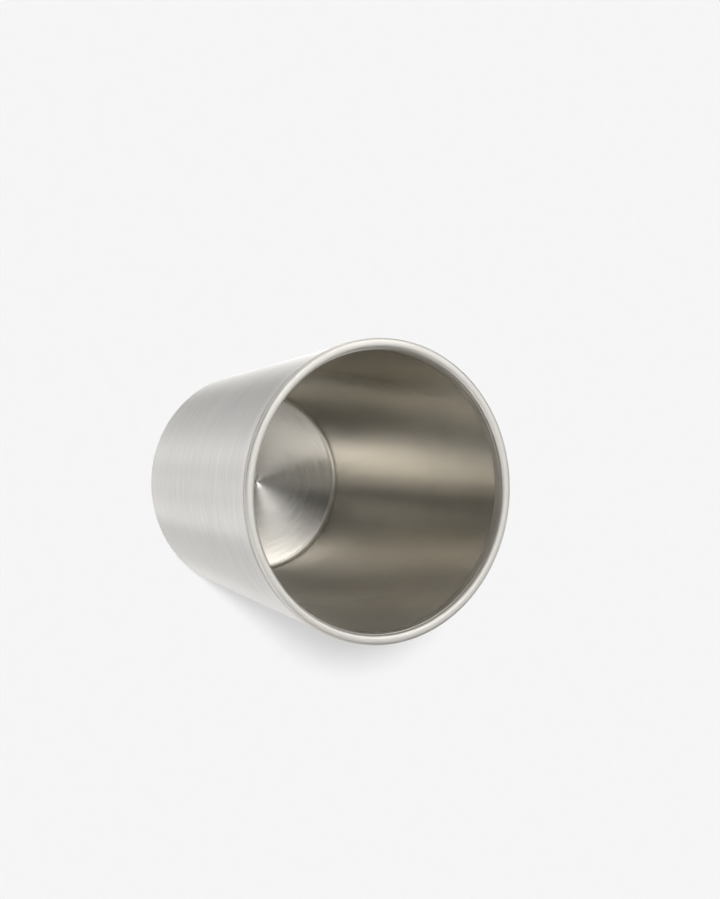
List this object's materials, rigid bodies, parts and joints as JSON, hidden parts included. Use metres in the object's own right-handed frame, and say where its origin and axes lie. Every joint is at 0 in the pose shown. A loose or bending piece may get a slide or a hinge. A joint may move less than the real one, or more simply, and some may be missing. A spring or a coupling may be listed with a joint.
{
  "type": "shot glass",
  "caption": "Small tapered double-walled steel drinking cup with a polished round lip, a turned flat floor and a flat base.",
  "frame": {"origin": "centre of the base's underside, with the glass standing upright", "axes": "+Z along the glass's axis from the base to the mouth; X and Y are any two directions across it, because the glass is round"},
  "size_m": [0.05, 0.05, 0.054],
  "materials": {
    "brushed_shell": "satin, brushed round the cup",
    "brushed_cup": "satin wall brushed round the cup, floor turned in fine rings",
    "polished_lip": "polished",
    "ground_seam": "ground",
    "turned_plate": "turned in fine rings"
  },
  "bodies": {
    "root": {"outer_shell": "brushed_shell", "inner_cup": "brushed_cup", "lip_weld_bead": "polished_lip", "base_weld_seam": "ground_seam", "base_plate": "turned_plate"}
  },
  "joints": []
}
